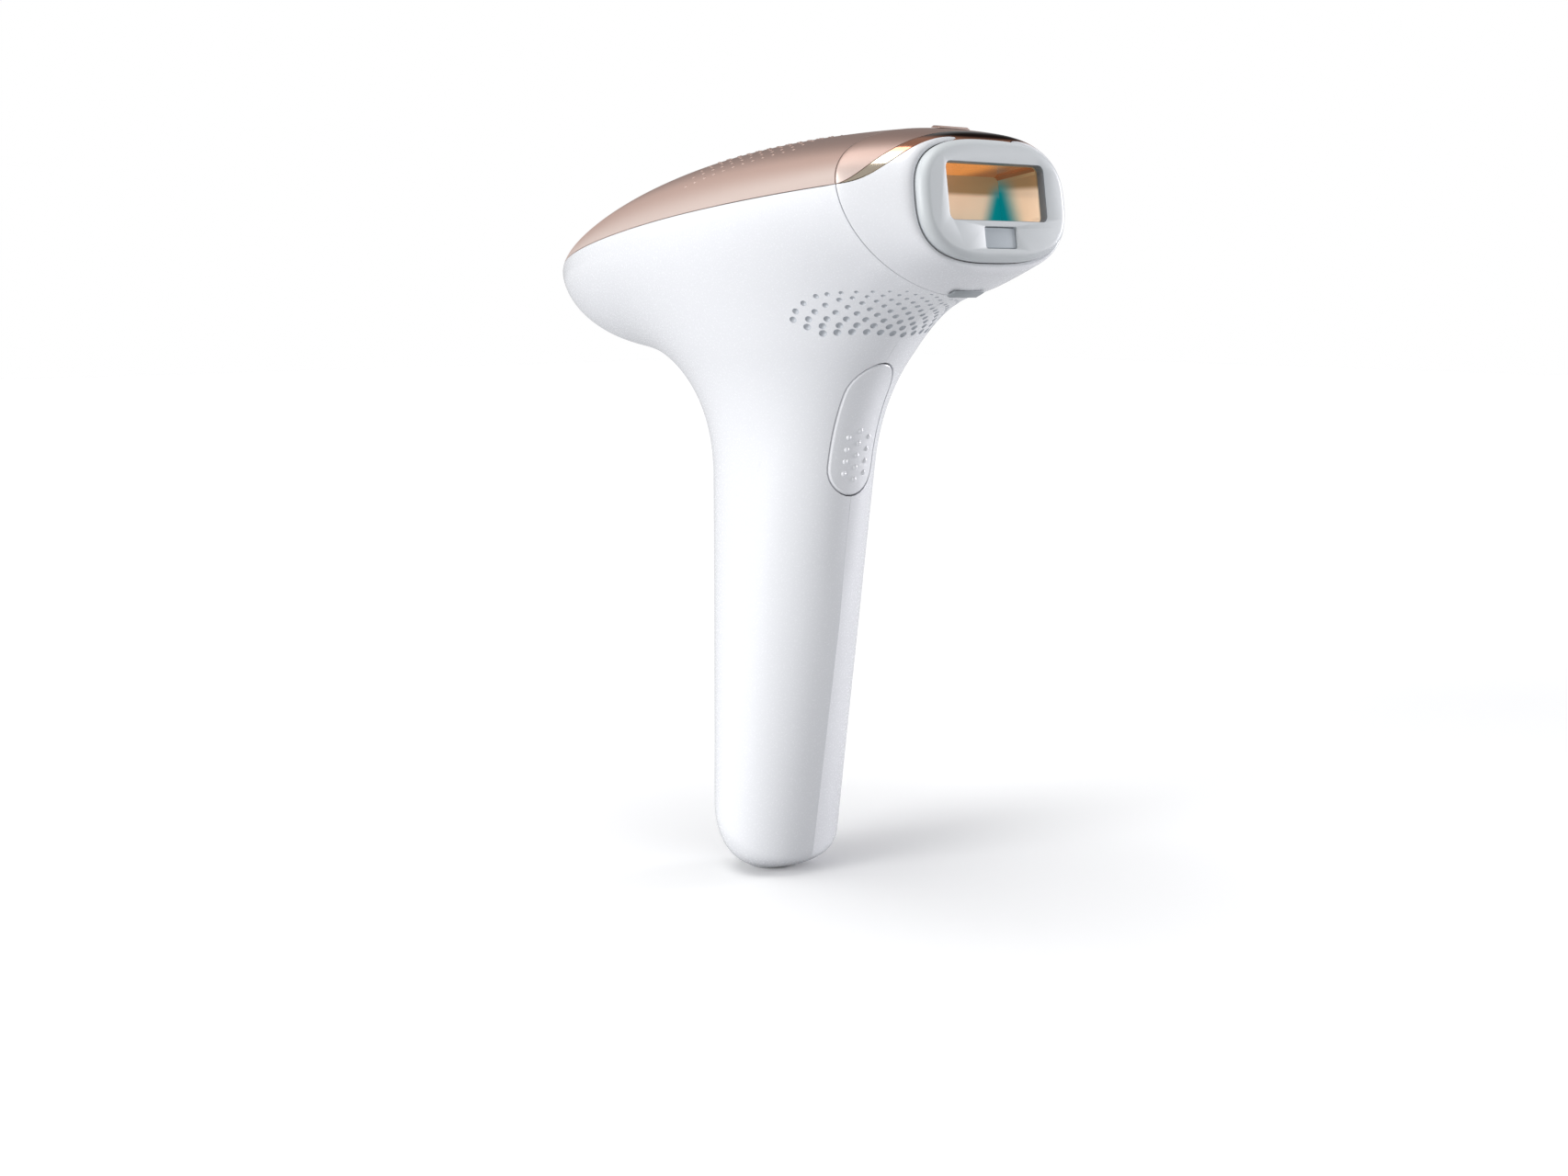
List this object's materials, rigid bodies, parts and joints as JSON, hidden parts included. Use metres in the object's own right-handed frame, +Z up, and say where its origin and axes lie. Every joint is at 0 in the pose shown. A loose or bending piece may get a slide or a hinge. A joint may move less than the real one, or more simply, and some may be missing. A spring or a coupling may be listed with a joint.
{
  "type": "ipl hair remover",
  "caption": "Pistol-shaped flash hair remover: tapering pod with a framed light window on a pull-off attachment, satin top cover, slim handle with a finger trigger.",
  "frame": {"origin": "centre of the handle at mid-grip, where the hand holds it", "axes": "+X forwards towards the light window, +Y to the user's left, +Z up along the handle; the pod's own axis is tilted 8.4 degrees nose-up from +X"},
  "size_m": [0.1577, 0.072, 0.1883],
  "materials": {
    "white_shell": "smooth high-gloss white moulding",
    "rose_satin": "satin rose-gold paint on plastic",
    "copper_strip": "polished copper-coloured plating",
    "grey_plastic": "fine satin grey",
    "clear_plastic": "clear, slightly frosted moulding",
    "filter_glass": "polished glass with a colour-shifting filter coating",
    "lamp_glass": "clear quartz tube",
    "mirror": "bright reflector",
    "dark_plastic": "fine matte",
    "light_plastic": "plain moulding",
    "circuit_board": "lacquered board",
    "steel": "plain",
    "copper_wire": "lacquered copper winding",
    "capacitor_sleeve": "shrink sleeve over an aluminium can"
  },
  "bodies": {
    "body": {"air_duct": "light_plastic", "boost_inductor": "copper_wire", "capacitor_cap": "dark_plastic", "chassis_frame": "light_plastic", "contact_switch_left": "dark_plastic", "contact_switch_right": "dark_plastic", "control_board": "circuit_board", "fan_housing": "dark_plastic", "filter_glass": "filter_glass", "flash_lamp": "lamp_glass", "front_bulkhead": "dark_plastic", "housing_left": "white_shell", "housing_right": "white_shell", "inlet_pin": "steel", "intensity_switch": "dark_plastic", "lamp_electrode_left": "steel", "lamp_electrode_right": "steel", "lamp_holder_left": "light_plastic", "lamp_holder_right": "light_plastic", "level_light_1": "clear_plastic", "level_light_2": "clear_plastic", "level_light_3": "clear_plastic", "level_light_4": "clear_plastic", "level_light_5": "clear_plastic", "main_capacitor": "capacitor_sleeve", "power_board": "circuit_board", "power_inlet": "dark_plastic", "power_switch": "dark_plastic", "rear_panel": "grey_plastic", "reflector": "mirror", "screw_1": "steel", "screw_2": "steel", "screw_3": "steel", "screw_4": "steel", "skin_sensor": "dark_plastic", "top_cover": "rose_satin", "transformer": "dark_plastic", "trigger_coil": "copper_wire", "trigger_pin": "steel", "trigger_spring": "steel", "trigger_switch": "dark_plastic"},
    "attachment": {"attachment_shell": "white_shell", "attachment_cap": "rose_satin", "accent_strip": "copper_strip", "contact_pad": "grey_plastic", "light_tunnel": "mirror", "sensor_window": "clear_plastic", "catch_top": "rose_satin", "catch_bottom": "grey_plastic"},
    "trigger": {"trigger_button": "white_shell"},
    "power_button": {"power_button": "grey_plastic"},
    "intensity_button": {"intensity_button": "grey_plastic"},
    "plunger_left": {"contact_plunger_left": "light_plastic"},
    "plunger_right": {"contact_plunger_right": "light_plastic"},
    "fan": {"fan_rotor": "dark_plastic"}
  },
  "joints": [
    {"name": "attachment_pull", "type": "slide", "parent": "body", "child": "attachment", "axis": [0.9893, 0, 0.1461], "range_m": [0, 0.03]},
    {"name": "trigger_press", "type": "hinge", "parent": "body", "child": "trigger", "pos_m": [0.02612, 0, 0.051], "axis": [0, 1, 0], "range_deg": [0, 3.5], "stiffness_Nm_per_rad": 0.6},
    {"name": "power_press", "type": "slide", "parent": "body", "child": "power_button", "axis": [0.9893, 0, 0.1461], "range_m": [0, 0.0008], "stiffness_N_per_m": 400},
    {"name": "intensity_press", "type": "slide", "parent": "body", "child": "intensity_button", "axis": [0.9893, 0, 0.1461], "range_m": [0, 0.0008], "stiffness_N_per_m": 400},
    {"name": "plunger_left_press", "type": "slide", "parent": "body", "child": "plunger_left", "axis": [-0.9893, 0, -0.1461], "range_m": [0, 0.0012], "stiffness_N_per_m": 200},
    {"name": "plunger_right_press", "type": "slide", "parent": "body", "child": "plunger_right", "axis": [-0.9893, 0, -0.1461], "range_m": [0, 0.0012], "stiffness_N_per_m": 200},
    {"name": "fan_spin", "type": "hinge", "parent": "body", "child": "fan", "pos_m": [0.00074, 0, 0.08383], "axis": [0.9893, 0, 0.1461], "continuous": true}
  ]
}
